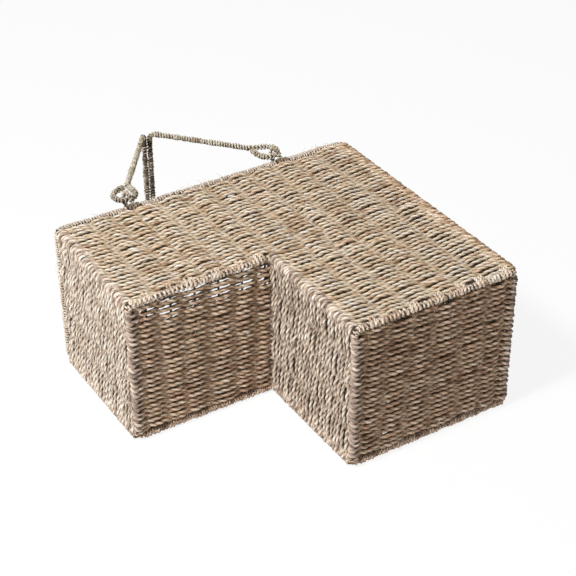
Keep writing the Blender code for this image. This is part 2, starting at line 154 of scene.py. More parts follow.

# Tones: how light each piece is, how much it varies, and the painted shade that darkens a cord's groove and
# hidden side; several dimmings and tones below paint shade, and one paints light
BLADE_TONE = 0.15
# Painted shade: the rows darkened on the rear end wall, and more on the riser's end wall in the notch
REAR_END_PAINTED_SHADE = 0.09
RISER_END_PAINTED_SHADE = 0.18
# Painted light: the end faces are made greyer, standing for the cooler light that falls on them
END_PAINTED_COOL_GREY = 0.29
# Painted shade on every other row where it rounds a corner wire
CORNER_PAINTED_SHADE = 0.33
CORNER_SHADE_REACH = 0.010
# Painted shade: the floors' tones, the lower floor darker
FLOOR_PAINTED_SHADE_TONES = {"upper_floor": 0.52, "lower_floor": 0.45}
# The low edges' tone is painted shade, for bindings that lie in shadow near the floor
EDGE_TONES_LOW_PAINTED_SHADE = {"low": 0.28, "high": 0.60}
# The rim's own pale peach tone, raised further as painted light since the rim is lit less
RIM_PALE_AND_PAINTED_LIGHT_TONE = 0.80
# Painted shade: rows darkened towards the front end, the side turned from the key lamp
FRONT_END_PAINTED_SHADE = 0.14
ROW_TONE = 0.51
ROW_TONE_SPREAD = 0.05
TONE_LIMITS = (0.05, 0.95)
# Painted shade: the floors' loops at the end edges, darker than the floor rows
LOOP_PAINTED_SHADE_TONE = 0.36
FLOOR_TONE_SPREAD = 0.05
TURN_TONE_SPREAD = 0.13
STITCH_TONE_SPREAD = 0.08
BLADE_PATCH_LENGTH = 0.035
LEG_TONE = 0.68
GRIP_TONE = 0.25
GRIP_MOTTLE = 0.30
# Painted shade: the packing behind the loops is dark so it reads as the gaps between them
PACKING_PAINTED_SHADE_TONE = 0.30
LASHING_TONE = 0.18
# Painted shade: the packed core under wound cord is darker, so the gaps between turns read as shade
CORE_PAINTED_SHADE = {"rim": 0.12, "edge": 0.15, "coil": 0.30, "handle": 0.35}
# Painted shade: the groove between the two plies, and the side of a woven cord turned inward between the
# rows, are darkened in the colour
PAINTED_GROOVE_SHADE = 1.36
PAINTED_HIDDEN_SHADE = 0.90
PAINTED_HIDDEN_SHADE_POWER = 1.60

# The seagrass surface: noise scales along a cord, round it and from cord to cord, each with its detail
FIBRE_NOISE = ((150.0, 15.0, 5.3), 4.0)
PATCH_NOISE = ((60.0, 0.8, 3.1), 2.0)
RUST_NOISE = ((42.0, 1.6, 7.7), 1.0)
GREEN_NOISE = ((30.0, 1.3, 3.9), 1.0)
STREAK = 0.55
PATCHINESS = 0.45
RUST = (0.34, 0.175, 0.095, 1.0)
RUST_EDGES = (0.58, 0.72)
GREEN_TINT = (0.87, 0.90, 0.77, 1.0)
GREEN_EDGES = (0.50, 0.66)
GREEN_SHARE = 0.6
# How much richer the colour grows where the painted shade darkens it
RICHNESS = 1.12
RICHNESS_LOSS = 0.25
GRASS_ROUGHNESS = 0.75
GRASS_SPECULAR = 0.12
FIBRE_RELIEF = 0.9
FIBRE_RELIEF_DEPTH = 0.0008

# Loose fibres
FIBRE_LENGTH = 0.013
FIBRE_DIAMETER = 0.0003
FIBRE_LIFT = 0.0012
FIBRES_PER_AREA = 2600
FIBRE_LENGTH_SHARES = (0.3, 1.0)
FIBRE_BENDS = (-0.3, 0.3)
FIBRE_LIFT_SHARES = (1.2, 2.2)
FIBRE_ARCH = 2.2
FIBRE_TONES = (0.2, 0.7)
FIBRE_POINTS = 7
EDGE_FACE_WIDTH = 0.02

# The frame's dull wire
WIRE_METALLIC = 0.5
WIRE_ROUGHNESS = 0.55
WIRE_MOTTLE_SCALE = 220.0
WIRE_COLOURS = ((0.030, 0.024, 0.018, 1.0), (0.110, 0.085, 0.060, 1.0))

# The studio: floor and backdrop, lamps as name, place, size and power, and the photograph's camera
WHITE = (1.0, 1.0, 1.0, 1.0)
FLOOR_REACH = 6.0
PAPER_COLOUR = (0.90, 0.90, 0.90, 1.0)
PAPER_ROUGHNESS = 0.9
PAPER_WHITE_SHARE = 0.88
SKY_STRENGTH = 0.24
SEEN_STRENGTH = 1.0
LAMPS = (
    ("key", (-1.7, -0.35, 2.40), 0.5, 92.0),
    ("fill", (0.8, -2.0, 1.4), 1.6, 2.0),
)
LAMP_AIM = (0, 0, 0.1)
SENSOR_WIDTH_MM = 36.0
LENS_MM = 94.9
CAMERA_PLACE = (-0.7807, -1.3699, 1.1559)
CAMERA_TURNS_DEGREES = (55.951, 0.2384, -31.7926)

SEED = 20
UP_X = np.array((1.0, 0.0, 0.0))
UP_Y = np.array((0.0, 1.0, 0.0))
UP_Z = np.array((0.0, 0.0, 1.0))


def places():
    """The lines of the frame's wires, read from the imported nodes' boxes."""
    low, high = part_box("wire_frame")
    floor_low, floor_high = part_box("upper_floor")
    riser_low, riser_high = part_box("riser_wall")
    reach = WIRE_DIAMETER / 2
    return {
        "rear": low[0] + reach,
        "front": high[0] - reach,
        "riser": (riser_low[0] + riser_high[0]) / 2,
        "lower": low[1] + reach,
        "upper": (floor_low[1] + floor_high[1]) / 2,
        "rim": high[1] - reach,
        "low": low[2] + reach,
        "high": high[2] - reach,
    }


AT = places()
HINGES = {joint["child"]: joint["pos_m"] for joint in frame["record"]["behaviour"]["joints"]}
HINGE_X = {place: HINGES[place + "_handle"][0] for place in ("rear", "front")}
HINGE_Y = HINGES["front_handle"][1]
LEAN_REACH = (HINGE_X["front"] - HINGE_X["rear"] - HANDLE_DIAMETER - CLEARANCE) / 2
HANDLE_LEAN = math.asin(LEAN_REACH / LEG_LENGTH)
EYE_OFFSET = EYE_CENTRELINE_RADIUS - (HANDLE_DIAMETER + RING_CORD_DIAMETER) / 2 - EYE_PLAY


def even_places(low, high):
    """The middles of equal bays, as part.py spaces its stakes."""
    bays = max(1, round((high - low) / STAKE_SPACING))
    return [low + (i + 0.5) * (high - low) / bays for i in range(bays)]


SEAM = MIDDLE + CLEARANCE
UPPER_STAKES = even_places(AT["rear"] + SEAM, AT["riser"] + MIDDLE)
LOWER_STAKES = even_places(AT["riser"] + SEAM, AT["front"] - SEAM)
ACROSS_STAKES = even_places(2 * AT["low"], AT["high"] - AT["low"])


def smooth_noise(rng, count, knots):
    """Random values that change slowly, count of them over the given number of knots."""
    values = rng.standard_normal(max(2, knots) + 1)
    return np.interp(np.linspace(0, len(values) - 1, count), np.arange(len(values)), values)


def hermite(controls, closed, step):
    """A smooth route through points with set directions, sampled about every step."""
    places_at = np.array([place for place, _ in controls], dtype=float)
    ways = np.array([way for _, way in controls], dtype=float)
    ways /= np.linalg.norm(ways, axis=1)[:, None]
    count = len(controls)
    pieces = []
    for i in range(count if closed else count - 1):
        j = (i + 1) % count
        chord = np.linalg.norm(places_at[j] - places_at[i])
        share = np.arange(max(1, round(chord / step)))[:, None] / max(1, round(chord / step))
        square, cube = share**2, share**3
        pieces.append(
            (2 * cube - 3 * square + 1) * places_at[i]
            + (cube - 2 * square + share) * chord * ways[i]
            + (3 * square - 2 * cube) * places_at[j]
            + (cube - square) * chord * ways[j]
        )
    if not closed:
        pieces.append(places_at[-1:])
    return np.concatenate(pieces)


def resample(points, step, closed=False):
    """The same route with evenly spaced points."""
    track = np.concatenate([points, points[:1]]) if closed else points
    length = np.concatenate([[0], np.cumsum(np.linalg.norm(np.diff(track, axis=0), axis=1))])
    count = max(2, round(length[-1] / step))
    at = np.linspace(0, length[-1], count + 1)
    if closed:
        at = at[:-1]
    return np.stack([np.interp(at, length, track[:, axis]) for axis in range(3)], axis=1)


def strand(points, upright, closed=False, tone=0.5, phase=0.0, depth=None, grey=0.0):
    """One cord: its middle line, what its sides are measured from, its tone, its painted cool grey, and how
    far out it lies, which sets the painted shade on its hidden side.
    """
    return {
        "points": points,
        "upright": upright,
        "closed": closed,
        "tone": np.broadcast_to(tone, len(points)),
        "grey": np.broadcast_to(grey, len(points)),
        "phase": phase,
        "depth": np.ones(len(points)) if depth is None else depth,
        "woven": depth is not None,
    }


def axes_along(points, upright, closed):
    """Side and up directions at each point of a route."""
    if closed:
        ahead = np.roll(points, -1, axis=0) - np.roll(points, 1, axis=0)
    else:
        ahead = np.gradient(points, axis=0)
    ahead /= np.linalg.norm(ahead, axis=1)[:, None]
    side = np.cross(ahead, upright)
    side /= np.linalg.norm(side, axis=1)[:, None]
    return side, np.cross(side, ahead)


def ring_faces(base, rings, sides, closed):
    """Quads between the rings of one cord, and quads over its ends."""
    step = np.arange(rings if closed else rings - 1)
    here = base + step[:, None] * sides
    there = base + ((step + 1) % rings)[:, None] * sides
    k = np.arange(sides)
    after = (k + 1) % sides
    quads = np.stack([here + k, there + k, there + after, here + after], axis=2).reshape(-1, 4)
    if closed:
        return quads
    caps = []
    for i in range(sides // 2 - 1):
        one, two = i, sides - 1 - i
        corners = [one, one + 1, two - 1, two]
        caps.append([base + c for c in corners])
        caps.append([base + (rings - 1) * sides + c for c in corners[::-1]])
    return np.concatenate([quads, np.array(caps)])


def cord_mesh(name, strands, diameter, pitch, sides=CORD_SIDES, waist=CORD_WAIST_SHARE):
    """Twisted two-ply cords in one mesh: each ring is a waisted oval, turned along the cord; the groove
    between the plies and the hidden side of a woven cord get painted shade.
    """
    rng = np.random.default_rng(SEED + len(name))
    angle = np.arange(sides) * math.tau / sides
    ply_reach = (1 - waist**2) / 2
    ply_round = np.sqrt((1 - ply_reach) ** 2 - (ply_reach * np.sin(angle)) ** 2)
    profile = diameter / 2 * (ply_reach * abs(np.cos(angle)) + ply_round)
    ply = np.cos(angle)
    # Painted shade along the groove between the two plies
    groove_shading = np.sin(angle) ** 6 * (1 - waist) * PAINTED_GROOVE_SHADE
    verts, faces, tones, painted_cool_greys, painted_shades, lays = [], [], [], [], [], []
    base = 0
    for index, one in enumerate(strands):
        points, closed = one["points"], one["closed"]
        side, up = axes_along(points, one["upright"], closed)
        rings = len(points)
        gaps = np.linalg.norm(np.diff(points, axis=0), axis=1)
        length = np.concatenate([[0], np.cumsum(gaps)])
        total = length[-1] + (np.linalg.norm(points[0] - points[-1]) if closed else 0)
        turns = total / pitch / (1 + TWIST_WANDER_SHARE * rng.uniform(-1, 1))
        if closed:
            turns = max(1, round(turns))
        unrest = TWIST_UNREST * smooth_noise(rng, rings, int(total / (2 * pitch)))
        if closed:
            unrest[:: rings - 1] = 0.0
        turn = one["phase"] + math.tau * turns * length / total + unrest
        swelling = smooth_noise(rng, rings, int(total / SWELL_SPACING))
        swell = 1 + SWELL_SHARE * np.clip(swelling, *SWELL_LIMITS)
        if not closed:
            end = np.minimum(np.arange(rings), np.arange(rings)[::-1])
            swell *= np.where(end == 0, END_TAPER_SHARE, 1.0)
        lie = angle[None, :] - turn[:, None]
        reach = profile[None, :] * swell[:, None]
        ring = (
            points[:, None, :]
            + (reach * np.cos(lie))[:, :, None] * side[:, None, :]
            + (reach * np.sin(lie))[:, :, None] * up[:, None, :]
        )
        verts.append(ring.reshape(-1, 3))
        faces.append(ring_faces(base, rings, sides, closed))
        base += rings * sides
        first, second = (smooth_noise(rng, rings, int(total / BLADE_PATCH_LENGTH)) for _ in range(2))
        blades = np.where(ply[None, :] > 0, first[:, None], second[:, None]) * np.abs(ply)[None, :]
        tones.append(np.clip(one["tone"][:, None] + BLADE_TONE * blades, 0, 1).reshape(-1))
        painted_cool_greys.append(np.repeat(one["grey"], sides))
        # Painted shade: the groove, and on woven cords the side turned inward past the stakes, where shade
        # falls between the rows
        shade = np.broadcast_to(1 - groove_shading, (rings, sides))
        if one["woven"]:
            hidden = 0.5 - 0.5 * np.cos(lie) * one["depth"][:, None]
            shade = shade * (1 - PAINTED_HIDDEN_SHADE * np.clip(hidden, 0, 1) ** PAINTED_HIDDEN_SHADE_POWER)
        painted_shades.append(shade.reshape(-1))
        lay = np.empty((rings, sides, 3))
        lay[:, :, 0] = length[:, None]
        lay[:, :, 1] = np.abs(angle / math.pi - 1)[None, :]
        lay[:, :, 2] = index
        lays.append(lay.reshape(-1))
    return mesh_from(name, np.concatenate(verts), np.concatenate(faces), tones, painted_cool_greys, painted_shades, lays)


def mesh_from(name, verts, faces, tones, painted_cool_greys, painted_shades, lays):
    """A mesh of quads with the tone, painted cool grey, painted shade and lay of each point stored for the
    materials.
    """
    mesh = bpy.data.meshes.new(name)
    mesh.vertices.add(len(verts))
    mesh.vertices.foreach_set("co", verts.reshape(-1).astype(np.float32))
    mesh.loops.add(faces.size)
    mesh.loops.foreach_set("vertex_index", faces.reshape(-1).astype(np.int32))
    mesh.polygons.add(len(faces))
    mesh.polygons.foreach_set("loop_start", np.arange(0, faces.size, 4, dtype=np.int32))
    mesh.update(calc_edges=True)
    mesh.shade_smooth()
    for label, values in (("tone", tones), ("grey", painted_cool_greys), ("shade", painted_shades)):
        flat = np.concatenate(values).astype(np.float32)
        mesh.attributes.new(label, "FLOAT", "POINT").data.foreach_set("value", flat)
    mesh.attributes.new("lay", "FLOAT_VECTOR", "POINT").data.foreach_set(
        "vector", np.concatenate(lays).astype(np.float32)
    )
    return mesh


def add_piece(name, mesh, finish, body, nodes=()):
    """A visible piece that rides on a body and stands for the CAD nodes named."""
    made = bpy.data.objects.new(name, mesh)
    mesh.materials.append(finish)
    bpy.context.scene.collection.objects.link(made)
    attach(made, body)
    if nodes:
        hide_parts(*nodes)


def seagrass(name, ramp, rust_share=0.48):
    """Twisted seagrass: a tone from the cord, fibre streaks along the ply, rusty spots, and the painted
    shade of its grooves and hidden sides, whose colour grows richer as it darkens.
    """
    made = bpy.data.materials.new(name)
    made.use_nodes = True
    nodes, links = made.node_tree.nodes, made.node_tree.links
    shader = nodes["Principled BSDF"]
    shader.inputs["Roughness"].default_value = GRASS_ROUGHNESS
    shader.inputs["Specular IOR Level"].default_value = GRASS_SPECULAR

    def attribute(label):
        node = nodes.new("ShaderNodeAttribute")
        node.attribute_name = label
        return node

    def noise(scale, detail):
        stretch = nodes.new("ShaderNodeVectorMath")
        stretch.operation = "MULTIPLY"
        stretch.inputs[1].default_value = scale
        links.new(attribute("lay").outputs["Vector"], stretch.inputs[0])
        node = nodes.new("ShaderNodeTexNoise")
        node.inputs["Scale"].default_value = 1.0
        node.inputs["Detail"].default_value = detail
        links.new(stretch.outputs["Vector"], node.inputs["Vector"])
        return node.outputs["Fac"]

    def maths(operation, one, two, three=None):
        node = nodes.new("ShaderNodeMath")
        node.operation = operation
        for socket, value in zip(node.inputs, (one, two, three)):
            if isinstance(value, float):
                socket.default_value = value
            elif value is not None:
                links.new(value, socket)
        return node.outputs[0]

    def ramp_of(value, stops_at):
        node = nodes.new("ShaderNodeValToRGB")
        stops = node.color_ramp.elements
        while len(stops) < len(stops_at):
            stops.new(0.5)
        for stop, (at, colour) in zip(stops, stops_at):
            stop.position = at
            stop.color = (*colour, 1.0)
        links.new(value, node.inputs["Fac"])
        return node.outputs["Color"]

    def mix(operation, factor, one, two):
        node = nodes.new("ShaderNodeMix")
        node.data_type = "RGBA"
        node.blend_type = operation
        for socket, value in (("Factor", factor), ("A", one), ("B", two)):
            if isinstance(value, (float, tuple)):
                node.inputs[socket].default_value = value
            else:
                links.new(value, node.inputs[socket])
        return node.outputs["Result"]

    def spots_of(kind, edges, share):
        start, full = edges
        black, white = (0.0, 0.0, 0.0), (1.0, 1.0, 1.0)
        return maths("MULTIPLY", ramp_of(noise(*kind), [(start, black), (full, white)]), share)

    fibre = noise(*FIBRE_NOISE)
    patch = noise(*PATCH_NOISE)
    tone = attribute("tone").outputs["Fac"]
    light = maths("MULTIPLY_ADD", fibre, 2 * STREAK, tone)
    light = maths("MULTIPLY_ADD", patch, 2 * PATCHINESS, light)
    light = maths("SUBTRACT", light, STREAK + PATCHINESS)
    colour = ramp_of(light, ramp)
    colour = mix("MIX", spots_of(RUST_NOISE, RUST_EDGES, rust_share), colour, RUST)
    colour = mix("MULTIPLY", spots_of(GREEN_NOISE, GREEN_EDGES, GREEN_SHARE), colour, GREEN_TINT)
    # The painted shade darkens the colour and makes it richer, so the shaded gaps read red-brown; the
    # painted cool grey takes colour out
    shade = attribute("shade")
    richness = maths("MULTIPLY_ADD", shade.outputs["Fac"], -RICHNESS_LOSS, RICHNESS)
    faded = nodes.new("ShaderNodeHueSaturation")
    links.new(maths("SUBTRACT", richness, attribute("grey").outputs["Fac"]), faded.inputs["Saturation"])
    links.new(colour, faded.inputs["Color"])
    colour = mix("MULTIPLY", 1.0, faded.outputs["Color"], shade.outputs["Color"])
    links.new(colour, shader.inputs["Base Color"])
    relief = nodes.new("ShaderNodeBump")
    relief.inputs["Strength"].default_value = FIBRE_RELIEF
    relief.inputs["Distance"].default_value = FIBRE_RELIEF_DEPTH
    links.new(fibre, relief.inputs["Height"])
    links.new(relief.outputs["Normal"], shader.inputs["Normal"])
    return made


WEAVE = seagrass(
    "seagrass_weave",
    [
        (0.05, (0.350, 0.187, 0.100)),
        (0.24, (0.715, 0.472, 0.284)),
        (0.45, (0.960, 0.722, 0.490)),
        (0.66, (0.985, 0.838, 0.652)),
        (0.90, (0.985, 0.892, 0.765)),
    ],
)
# Painted shade: a darker, warmer copy of the weave for the floors, whose faces turn away from the key lamp
SHADED_FLOOR_WEAVE = seagrass(
    "seagrass_floor",
    [
        (0.05, (0.225, 0.113, 0.063)),
        (0.28, (0.540, 0.326, 0.200)),
        (0.50, (0.790, 0.542, 0.358)),
        (0.72, (0.900, 0.700, 0.514)),
        (0.95, (0.930, 0.818, 0.700)),
    ],
)
PEACH = seagrass(
    "seagrass_binding",
    [
        (0.05, (0.380, 0.235, 0.155)),
        (0.35, (0.760, 0.535, 0.375)),
        (0.65, (0.930, 0.745, 0.578)),
        (1.00, (0.960, 0.850, 0.725)),
    ],
    rust_share=0.25,
)
HANDLE = seagrass(
    "handle_wrap",
    [
        (0.05, (0.170, 0.110, 0.068)),
        (0.35, (0.540, 0.420, 0.285)),
        (0.65, (0.860, 0.735, 0.545)),
        (1.00, (0.940, 0.870, 0.730)),
    ],
    rust_share=0.30,
)


def wire_finish(name):
    """Dull dark wire, a little mottled."""
    made = bpy.data.materials.new(name)
    made.use_nodes = True
    nodes, links = made.node_tree.nodes, made.node_tree.links
    shader = nodes["Principled BSDF"]
    shader.inputs["Metallic"].default_value = WIRE_METALLIC
    shader.inputs["Roughness"].default_value = WIRE_ROUGHNESS
    where = nodes.new("ShaderNodeTexCoord")
    mottle = nodes.new("ShaderNodeTexNoise")
    mottle.inputs["Scale"].default_value = WIRE_MOTTLE_SCALE
    links.new(where.outputs["Object"], mottle.inputs["Vector"])
    ramp = nodes.new("ShaderNodeValToRGB")
    for stop, colour in zip(ramp.color_ramp.elements, WIRE_COLOURS):
        stop.color = colour
    links.new(mottle.outputs["Fac"], ramp.inputs["Fac"])
    links.new(ramp.outputs["Color"], shader.inputs["Base Color"])
    return made


WIRE = wire_finish("frame_wire")


def straight_posts(places_along, across_to_point, normal):
    """Stakes along one wall: where each stands and which way is out."""
    return [(across_to_point(place), (normal,), STAKE_DIAMETER / 2) for place in places_along]


def posts_round(left, side_places):
    """Every stake and corner wire that a row passes, from the front high corner round to the front wall."""
    right, low, high = AT["front"], AT["low"], AT["high"]
    wire = WIRE_DIAMETER / 2
    falling = sorted(side_places, reverse=True)
    posts = [((right, high), ((1, 0), (0, 1)), wire)]
    posts += straight_posts(falling, lambda x: (x, high), (0, 1))
    posts += [((left, high), ((0, 1), (-1, 0)), wire)]
    posts += straight_posts(ACROSS_STAKES[::-1], lambda z: (left, z), (-1, 0))
    posts += [((left, low), ((-1, 0), (0, -1)), wire)]
    posts += straight_posts(falling[::-1], lambda x: (x, low), (0, -1))
    posts += [((right, low), ((0, -1), (1, 0)), wire)]
    posts += straight_posts(ACROSS_STAKES, lambda z: (right, z), (1, 0))
    return posts


def row_round(posts, left, level, sways, sign, rng, end_painted_shade):
    """One closed row of cord: outside every corner wire, outside and inside the stakes by turns."""
    controls = []
    parity = sign
    for ((x, z), normals, radius), sway in zip(posts, sways):
        y = level + ROW_WANDER * rng.standard_normal()
        reach = sign * (MIDDLE - CORD_DIAMETER / 2) * (1 + WAVE_WANDER_SHARE * rng.uniform(-1, 0))
        outs = [Vector(normal) for normal in normals]
        slide = sway + SLIDE_SHARE * STAKE_SWAY * rng.standard_normal()
        if len(outs) == 2:
            reach = radius + CORD_DIAMETER / 2 * rng.uniform(*CORNER_REACH_SHARES[sign])
            outs.insert(1, (outs[0] + outs[1]).normalized())
            slide = 0.0
        for out in outs:
            way = (-out.y, 0, out.x)
            place = (x + reach * out.x - slide * out.y, y, z + reach * out.y + slide * out.x)
            controls.append((place, way))
        sign = -sign
    points = resample(hermite(controls, True, CORD_STEP / 2), CORD_STEP, closed=True)
    reach_x = abs(points[:, 0] - (left + AT["front"]) / 2) - (AT["front"] - left) / 2
    reach_z = abs(points[:, 2] - (AT["low"] + AT["high"]) / 2) - (AT["high"] - AT["low"]) / 2
    depth = -np.clip(np.maximum(reach_x, reach_z) / (MIDDLE - CORD_DIAMETER / 2), -1, 1)
    tone = np.full(len(points), rng.normal(ROW_TONE, ROW_TONE_SPREAD))
    # Painted shade on the end wall
    at_end = points[:, 0] < left + MIDDLE
    tone -= np.where(at_end, end_painted_shade, 0.0)
    # Painted shade towards the front end
    tone -= FRONT_END_PAINTED_SHADE * np.clip((points[:, 0] - AT["front"]) / CORNER_SHADE_REACH + 1, 0, 1)
    # Painted shade: every other row darkened where it rounds a corner wire
    if parity > 0:
        near_corner = np.exp(-((reach_x - reach_z) / CORNER_SHADE_REACH) ** 2)
        tone -= CORNER_PAINTED_SHADE * near_corner
    tone = np.clip(tone, *TONE_LIMITS)
    phase = rng.uniform(0, math.tau)
    # The end wall is painted greyer, standing for the cooler light on it
    return strand(points, UP_Y, True, tone, phase, depth, np.where(at_end, END_PAINTED_COOL_GREY, 0.0))


def walls():
    """The rows that run round the basket: the deep part above the step, then the part below it."""
    rng = np.random.default_rng(SEED)
    top = AT["rim"] - BINDING_VISIBLE_DIAMETER / 2 - CORD_DIAMETER / 2
    rows = round((top - AT["upper"]) / ROW_PITCH)
    upper_levels = [top - i * ROW_PITCH for i in range(rows)]
    lower_top = upper_levels[-1] - ROW_PITCH
    lower_rows = int((lower_top - AT["lower"] - BINDING_VISIBLE_DIAMETER / 2) / ROW_PITCH) + 1
    lower_levels = [lower_top - i * ROW_PITCH for i in range(lower_rows)]
    sides = UPPER_STAKES + LOWER_STAKES
    top_nodes = ("rear_wall", "side_wall_high", "side_wall_low")
    step_nodes = ("riser_wall", "front_wall")
    # Each stretch carries the painted shade of its end wall
    stretches = (
        ("top", AT["rear"], sides, upper_levels, 5, 0, REAR_END_PAINTED_SHADE, top_nodes),
        ("step", AT["riser"], LOWER_STAKES, lower_levels, 3, rows, RISER_END_PAINTED_SHADE, step_nodes),
    )
    for name, left, stakes, levels, shares, offset, painted_end_shade, nodes in stretches:
        posts = posts_round(left, stakes)
        leans = STAKE_SWAY * rng.standard_normal((2, len(posts)))
        strands = []
        for i, level in enumerate(levels):
            share = i / len(levels)
            sways = (1 - share) * leans[0] + share * leans[1]
            sign = 1 if (i + offset) % 2 else -1
            strands.append(row_round(posts, left, level, sways, sign, rng, painted_end_shade))
        for share in range(shares):
            label = f"weave_round_{name}_{share + 1}"
            some = strands[share * len(strands) // shares : (share + 1) * len(strands) // shares]
            mesh = cord_mesh(label, some, CORD_DIAMETER, TWIST_PITCH)
            add_piece(label, mesh, WEAVE, "basket", nodes)


def floor_weave(name, y, left, right, stakes, seed):
    """One cord to and fro along a floor, looped round the wire at each end, and the fibre in those loops."""
    rng = np.random.default_rng(seed)
    first = AT["low"] + (BINDING_VISIBLE_DIAMETER + FLOOR_CORD_DIAMETER) / 2
    last = AT["high"] - (BINDING_VISIBLE_DIAMETER + FLOOR_CORD_DIAMETER) / 2
    rows = round((last - first) / ROW_PITCH)
    steps = np.ones(rows)
    steps[rows - LOOSE_ROWS[name] :] = LOOSE_PITCH_SHARE
    levels = first + (last - first) * np.concatenate([[0], np.cumsum(steps)]) / np.sum(steps)
    stake_reach = MIDDLE - FLOOR_CORD_DIAMETER / 2
    wire_reach = WIRE_DIAMETER / 2 + END_REACH_SHARE * FLOOR_CORD_DIAMETER / 2
    leans = STAKE_SWAY * rng.standard_normal((2, len(stakes)))
    controls = []
    sign, heading = 1, 1
    for i, level in enumerate(levels):
        start, end = (left, right) if heading > 0 else (right, left)
        way = (heading, 0, 0)
        rise = (levels[1] - levels[0]) * rng.uniform(*RISE_SHARES)
        controls.append(((start, y - sign * wire_reach, level - rise if i else level), way))
        sign = -sign
        share = i / len(levels)
        sways = (1 - share) * leans[0] + share * leans[1]
        for x, sway in list(zip(stakes, sways))[::heading]:
            z = level + FLOOR_WANDER_SHARE * ROW_WANDER * rng.standard_normal()
            reach = sign * stake_reach * (1 + WAVE_WANDER_SHARE * rng.uniform(-1, 0))
            slide = sway + SLIDE_SHARE * STAKE_SWAY * rng.standard_normal()
            controls.append(((x + slide, y - reach, z), way))
            sign = -sign
        rise = (levels[1] - levels[0]) * rng.uniform(*RISE_SHARES)
        controls.append(((end, y - sign * wire_reach, level + rise if i + 1 < len(levels) else level), way))
        if i + 1 < len(levels):
            between = (level + levels[i + 1]) / 2 + ROW_WANDER * rng.standard_normal()
            loop_reach = heading * wire_reach * rng.uniform(*LOOP_SHARES)
            controls.append(((end + loop_reach, y, between), (0, sign, LOOP_SLOPE)))
        sign = -sign
        heading = -heading
    points = resample(hermite(controls, False, CORD_STEP / 2), CORD_STEP)
    depth = np.clip((y - points[:, 1]) / stake_reach, -1, 1)
    ahead = np.sign(np.gradient(points[:, 0]))
    from_middle = abs(points[:, 0] - (left + right) / 2)
    depth = np.where(from_middle > (right - left) / 2, LOOP_DEPTH, depth * ahead)
    looping = from_middle > (right - left) / 2 - MIDDLE
    unevenness = FLOOR_TONE_SPREAD * smooth_noise(rng, len(points), rows)
    # The loops are darkened with painted shade
    tone = np.where(looping, LOOP_PAINTED_SHADE_TONE, FLOOR_PAINTED_SHADE_TONES[name]) + unevenness
    # The loops at the ends are painted greyer like the end walls, for the cooler light on the ends
    cords = [strand(points, UP_Z, False, tone, depth=depth, grey=np.where(looping, END_PAINTED_COOL_GREY, 0.0))]
    # The floor's cord uses the darker, warmer copy of the weave: painted shade
    mesh = cord_mesh(name + "_weave", cords, FLOOR_CORD_DIAMETER, TWIST_PITCH, waist=FLOOR_WAIST_SHARE)
    add_piece(name + "_weave", mesh, SHADED_FLOOR_WEAVE, "basket", (name,))
    lines = [resample(np.array([(x, y, first), (x, y, last)]), CORD_STEP) for x in (left, right)]
    # Packing in dark painted shade, made greyer with the painted cool grey
    packing = [strand(line, UP_X, False, PACKING_PAINTED_SHADE_TONE, grey=END_PAINTED_COOL_GREY) for line in lines]
    shape = (PACKING_DIAMETER, PACKING_TWIST_PITCH, FINE_CORD_SIDES, PACKING_WAIST_SHARE)
    mesh = cord_mesh(name + "_packing", packing, *shape)
    add_piece(name + "_packing", mesh, SHADED_FLOOR_WEAVE, "basket")


def rounded(corners, radius):
    """Points of a bent wire: straight runs with an arc at each corner."""
    corners = [Vector(corner) for corner in corners]
    count = len(corners)
    path = []
    for i, corner in enumerate(corners):
        if i in (0, count - 1):
            path.append(corner)
            continue
        back = (corners[i - 1] - corner).normalized()
        ahead = (corners[i + 1] - corner).normalized()
        half = back.angle(ahead) / 2
        centre = corner + (back + ahead).normalized() * (radius / math.sin(half))
        first = corner + back * (radius / math.tan(half)) - centre
        last = corner + ahead * (radius / math.tan(half)) - centre
        sweep = first.angle(last)
        for step in range(BEND_STEPS + 1):
            share = step / BEND_STEPS
            spoke = first * math.sin((1 - share) * sweep) + last * math.sin(share * sweep)
            path.append(centre + spoke / math.sin(sweep))
    return np.array(path)


def wound(path, radius, turn_pitch, step, rng, closed=False):
    """The route of a cord wound round a path."""
    points = resample(path, step / ROUTE_FINENESS, closed)
    ahead = np.gradient(points, axis=0)
    ahead /= np.linalg.norm(ahead, axis=1)[:, None]
    side = np.empty_like(points)
    current = np.cross(ahead[0], UP_Z if abs(ahead[0][2]) < 0.9 else UP_X)
    for i, way in enumerate(ahead):
        current = current - way * np.dot(current, way)
        current /= np.linalg.norm(current)
        side[i] = current
    up = np.cross(ahead, side)
    length = np.concatenate([[0], np.cumsum(np.linalg.norm(np.diff(points, axis=0), axis=1))])
    changes = int(length[-1] / (PITCH_WANDER_TURNS * turn_pitch))
    pace = 1 + PITCH_WANDER_SHARE * np.clip(smooth_noise(rng, len(points), changes), -2, 2)
    turn = math.tau * np.cumsum(np.gradient(length) / pace) / turn_pitch
    if closed:
        turn *= round(turn[-1] / math.tau) * math.tau / turn[-1]
    unevenness = smooth_noise(rng, len(points), int(length[-1] / turn_pitch))
    reach = radius * (1 + RADIUS_WANDER_SHARE * unevenness)
    route = points + reach[:, None] * (np.cos(turn)[:, None] * side + np.sin(turn)[:, None] * up)
    return resample(route, step, closed), points


def nearest_ways(route, core):
    """The direction of the core beside each point of a cord wound round it."""
    ways = np.gradient(core, axis=0)
    ways /= np.linalg.norm(ways, axis=1)[:, None]
    at = np.linspace(0, len(core) - 1, len(route)).round().astype(int)
    return ways[at]


